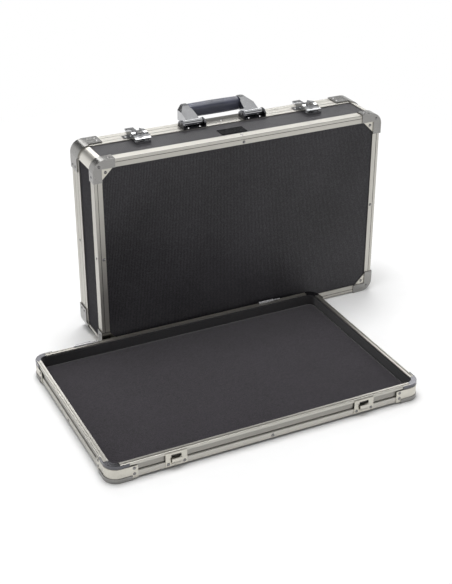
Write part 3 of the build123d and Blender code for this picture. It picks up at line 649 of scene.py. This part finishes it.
def make_grip():
    """The padded grip: a crowned sleeve with a stitched seam underneath, pinched at both ends."""
    low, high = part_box("handle_grip")
    middle, size = (low + high) / 2, high - low
    half, radius = size.x / 2, min(size.y, size.z) / 2
    bm = bmesh.new()
    rings = []
    for i in range(grip_rings + 1):
        t = -1 + 2 * i / grip_rings
        swell = 1 - grip_crown * t * t
        pinch = 1 - pinch_depth * max(0.0, (abs(t) - pinch_from) / (1 - pinch_from)) ** 2
        ring = []
        for k in range(grip_sides):
            angle = 2 * math.pi * k / grip_sides
            c, s = math.cos(angle), math.sin(angle)
            reach = radius * (abs(c) ** grip_power + abs(s) ** grip_power) ** (-1 / grip_power)
            reach *= swell * pinch
            seam = math.exp(-((angle - seam_angle) / seam_width) ** 2)
            reach -= seam_depth * seam * (0.6 + 0.4 * math.cos(t * seam_stitches))
            reach -= grip_wear * (1 + noise.noise(Vector((t * 4, c * 2, s * 2))))
            across, up = middle.y + reach * c, middle.z + reach * s
            ring.append(bm.verts.new((middle.x + half * t, across, up)))
        rings.append(ring)
    for i in range(grip_rings):
        for k in range(grip_sides):
            n = (k + 1) % grip_sides
            bm.faces.new([rings[i][k], rings[i][n], rings[i + 1][n], rings[i + 1][k]])
    bm.faces.new(rings[0])
    bm.faces.new(rings[-1])
    mat = vinyl_finish("vinyl")
    obj = new_piece("handle_sleeve", bm, mat, "handle", "vinyl_grip", "handle_grip")


def make_floor():
    """A plain pale floor, which keeps the shadow near the object and is white far off."""
    bm = bmesh.new()
    around = ((-1, -1), (1, -1), (1, 1), (-1, 1))
    bm.faces.new([bm.verts.new((x * floor_half, y * floor_half, -floor_drop)) for x, y in around])
    mesh = bpy.data.meshes.new("floor")
    bm.to_mesh(mesh)
    bm.free()
    g = Graph("floor")
    g.set(Roughness=0.9, Specular_IOR_Level=0.1)
    grain = g.noise(scale=40, detail=2)
    dark, pale = ((tone,) * 3 for tone in floor_tones)
    g.wire(g.blend(g.spread(grain, 0, 1), dark, pale), "Base Color")
    path = g.nodes.new("ShaderNodeLightPath")
    reach_out = g.nodes.new("ShaderNodeVectorMath")
    reach_out.operation = "LENGTH"
    g.links.new(g.coords.outputs["Object"], reach_out.inputs[0])
    seen = g.math("MAXIMUM", path.outputs["Is Camera Ray"], path.outputs["Is Glossy Ray"])
    seen = g.math("MAXIMUM", seen, path.outputs["Is Transmission Ray"])
    far = g.spread(reach_out.outputs["Value"], 0, 1, *floor_fade)
    share = g.math("MULTIPLY", seen, far)
    white = g.nodes.new("ShaderNodeEmission")
    white.inputs["Color"].default_value = (1, 1, 1, 1)
    mix = g.nodes.new("ShaderNodeMixShader")
    g.links.new(share, mix.inputs[0])
    g.links.new(g.bsdf.outputs["BSDF"], mix.inputs[1])
    g.links.new(white.outputs["Emission"], mix.inputs[2])
    g.links.new(mix.outputs["Shader"], g.nodes["Material Output"].inputs["Surface"])
    mesh.materials.append(g.mat)
    floor = bpy.data.objects.new("floor", mesh)
    bpy.context.scene.collection.objects.link(floor)


def soft_box(name, azimuth, elevation, distance, size, power):
    """A soft box aimed at the object."""
    data = bpy.data.lights.new(name, "AREA")
    data.shape = "RECTANGLE"
    data.size, data.size_y = size
    data.energy = power
    az, el = math.radians(azimuth), math.radians(elevation)
    way = Vector((math.sin(az) * math.cos(el), math.cos(az) * math.cos(el), math.sin(el)))
    lamp = bpy.data.objects.new(name, data)
    lamp.location = Vector(lamp_aim) + way * distance
    lamp.rotation_euler = (-way).to_track_quat("-Z", "Y").to_euler()
    bpy.context.scene.collection.objects.link(lamp)


def make_light():
    """The soft boxes, in a studio that is white round the horizon and dimmer above.

    Every kind of ray sees the same studio, so metal shows the background that the camera sees.
    """
    for name, lamp in lamps.items():
        soft_box(name, *lamp)
    world = bpy.data.worlds.new("studio")
    bpy.context.scene.world = world
    world.use_nodes = True
    nodes, links = world.node_tree.nodes, world.node_tree.links
    coords = nodes.new("ShaderNodeTexCoord")
    parts = nodes.new("ShaderNodeSeparateXYZ")
    level = nodes.new("ShaderNodeMapRange")
    level.interpolation_type = "SMOOTHSTEP"
    limits = {"From Min": world_fall[0], "From Max": world_fall[1],
              "To Min": world_round, "To Max": world_above}
    for key, value in limits.items():
        level.inputs[key].default_value = value
    links.new(coords.outputs["Generated"], parts.inputs["Vector"])
    links.new(parts.outputs["Z"], level.inputs["Value"])
    links.new(level.outputs["Result"], nodes["Background"].inputs["Strength"])
    nodes["Background"].inputs["Color"].default_value = (1, 1, 1, 1)


def make_camera():
    """The camera at the photograph's viewing angle."""
    data = bpy.data.cameras.new("camera")
    data.sensor_width = sensor
    data.lens = focal_px * sensor / frame_long_px
    data.clip_end = clip_end
    camera = bpy.data.objects.new("camera", data)
    camera.location = camera_place
    camera.rotation_euler = (math.radians(90 - camera_pitch), 0, math.radians(-camera_yaw))
    bpy.context.scene.collection.objects.link(camera)
    bpy.context.scene.camera = camera


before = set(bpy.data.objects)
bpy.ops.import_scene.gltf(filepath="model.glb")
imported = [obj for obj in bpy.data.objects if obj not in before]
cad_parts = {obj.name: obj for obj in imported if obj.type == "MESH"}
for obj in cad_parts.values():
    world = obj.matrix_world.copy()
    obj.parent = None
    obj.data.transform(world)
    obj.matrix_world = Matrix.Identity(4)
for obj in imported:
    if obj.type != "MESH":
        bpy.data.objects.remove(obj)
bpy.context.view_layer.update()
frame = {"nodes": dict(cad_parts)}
bpy.context.scene.view_settings.view_transform = "Standard"
make_camera()
dress_frame(frame)
make_foam()
make_carpet()
lining_mat = cloth_finish("lining_cloth", lining, scale=1900, depth=0.00025, sheen=0.3)
make_lining("lid_wall_cloth", "lid_wall_fabric", "lid", 1, lining_mat)
make_lining("tray_wall_cloth", "tray_wall_fabric", "tray", 2, lining_mat)
make_grip()
make_floor()
make_light()
